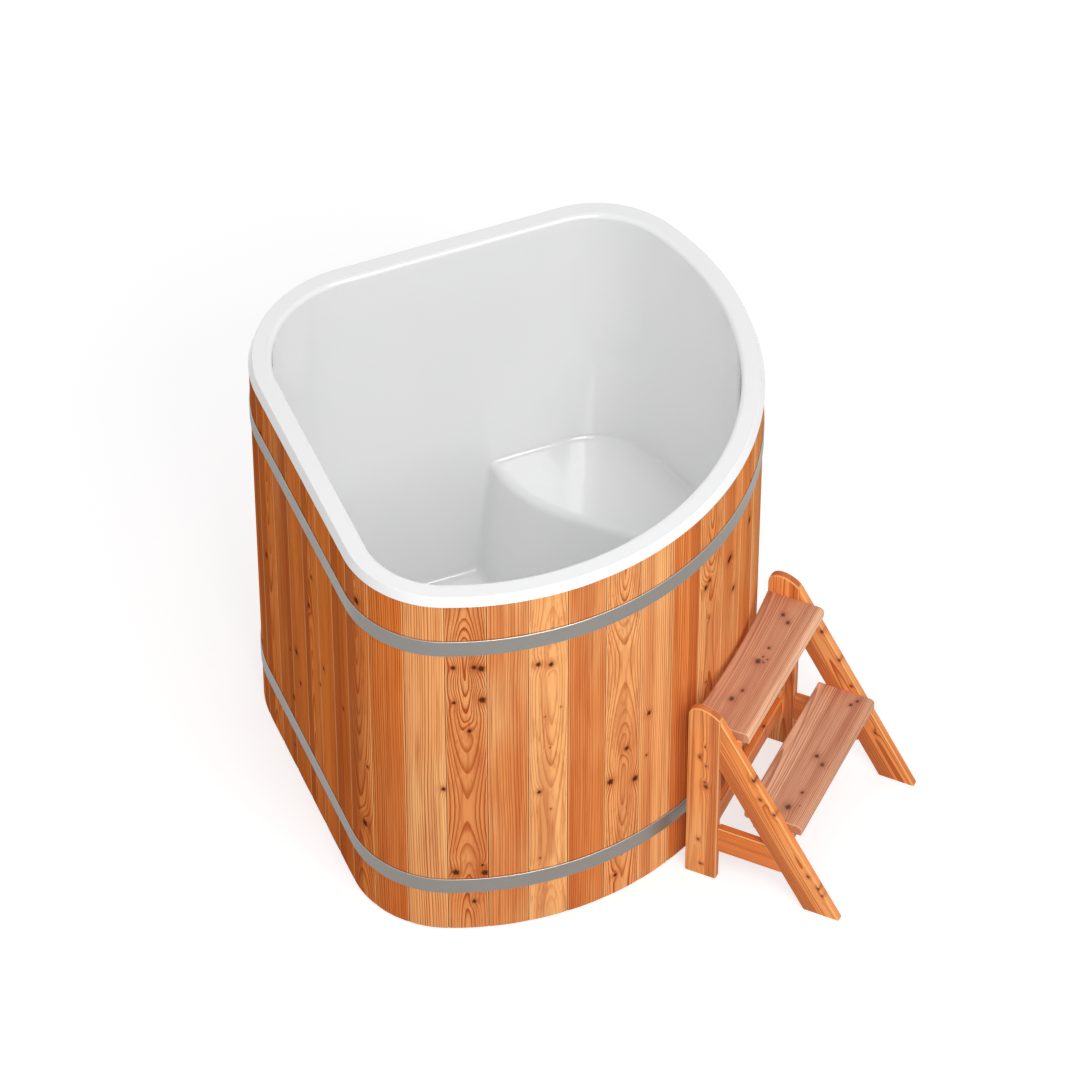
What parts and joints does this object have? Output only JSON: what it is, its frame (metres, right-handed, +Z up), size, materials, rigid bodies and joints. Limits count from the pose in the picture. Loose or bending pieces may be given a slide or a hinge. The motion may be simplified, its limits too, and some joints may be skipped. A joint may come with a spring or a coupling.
{
  "type": "corner plunge tub",
  "caption": "Corner plunge tub of wooden staves held by steel hoops, with a moulded white liner and seat, a drain valve and a free-standing wooden step ladder.",
  "frame": {"origin": "centre of the round front, on the floor that the tub stands on", "axes": "+Z up; +Y towards the tub's back corner, away from the ladder; +X towards the end with the seat"},
  "size_m": [1.3764, 1.5992, 1.112],
  "materials": {
    "stave_wood": "oiled larch, fine grain with small knots",
    "liner_shell": "gloss white gel coat",
    "hoop_steel": "satin stainless steel",
    "bolt_steel": "bright stainless steel",
    "bearer_wood": "planed larch",
    "board_wood": "planed larch",
    "drain_brass": "satin brass",
    "seal_rubber": "black rubber",
    "valve_steel": "polished steel",
    "lever_paint": "red paint",
    "frame_wood": "oiled larch with eased edges",
    "rail_wood": "oiled larch",
    "tread_wood": "oiled larch, browner than the frames",
    "inner_wood": "planed larch",
    "dowel_wood": "beech dowel"
  },
  "bodies": {
    "tub": {"staves_01": "stave_wood", "staves_02": "stave_wood", "staves_03": "stave_wood", "staves_04": "stave_wood", "staves_05": "stave_wood", "staves_06": "stave_wood", "staves_07": "stave_wood", "staves_08": "stave_wood", "staves_09": "stave_wood", "staves_10": "stave_wood", "staves_11": "stave_wood", "staves_12": "stave_wood", "staves_13": "stave_wood", "staves_14": "stave_wood", "staves_15": "stave_wood", "staves_16": "stave_wood", "staves_17": "stave_wood", "staves_18": "stave_wood", "staves_19": "stave_wood", "staves_20": "stave_wood", "staves_21": "stave_wood", "liner": "liner_shell", "upper_hoop": "hoop_steel", "lower_hoop": "hoop_steel", "lock_bolts": "bolt_steel", "floor_screws": "bolt_steel", "left_bearer": "bearer_wood", "middle_bearer": "bearer_wood", "right_bearer": "bearer_wood", "floor_boards": "board_wood", "drain_fitting": "drain_brass", "drain_nut": "drain_brass", "valve_body": "drain_brass", "hose_tail": "drain_brass", "drain_gasket": "seal_rubber"},
    "valve_handle": {"valve_ball": "valve_steel", "valve_spindle": "valve_steel", "valve_lever": "lever_paint", "lever_nut": "valve_steel"},
    "stopper": {"drain_stopper": "seal_rubber", "stopper_ring": "valve_steel"},
    "ladder": {"left_post": "frame_wood", "right_post": "frame_wood", "left_leg": "frame_wood", "right_leg": "frame_wood", "left_rail": "rail_wood", "right_rail": "rail_wood", "top_tread": "tread_wood", "lower_tread": "tread_wood", "crossbar": "inner_wood", "top_left_cleat": "inner_wood", "top_right_cleat": "inner_wood", "low_left_cleat": "inner_wood", "low_right_cleat": "inner_wood", "frame_dowels": "dowel_wood", "ladder_screws": "bolt_steel"}
  },
  "joints": [
    {"name": "ladder_slide", "type": "slide", "parent": "tub", "child": "ladder", "axis": [-0.0297, -0.9996, 0], "range_m": [0, 0.4]},
    {"name": "stopper_pull", "type": "slide", "parent": "tub", "child": "stopper", "axis": [-0.7071, -0.7071, 0], "range_m": [0, 0.12]},
    {"name": "valve_turn", "type": "hinge", "parent": "tub", "child": "valve_handle", "pos_m": [0.2745, 0.38334, 0.086], "axis": [0, 0, 1], "range_deg": [0, 90]}
  ]
}
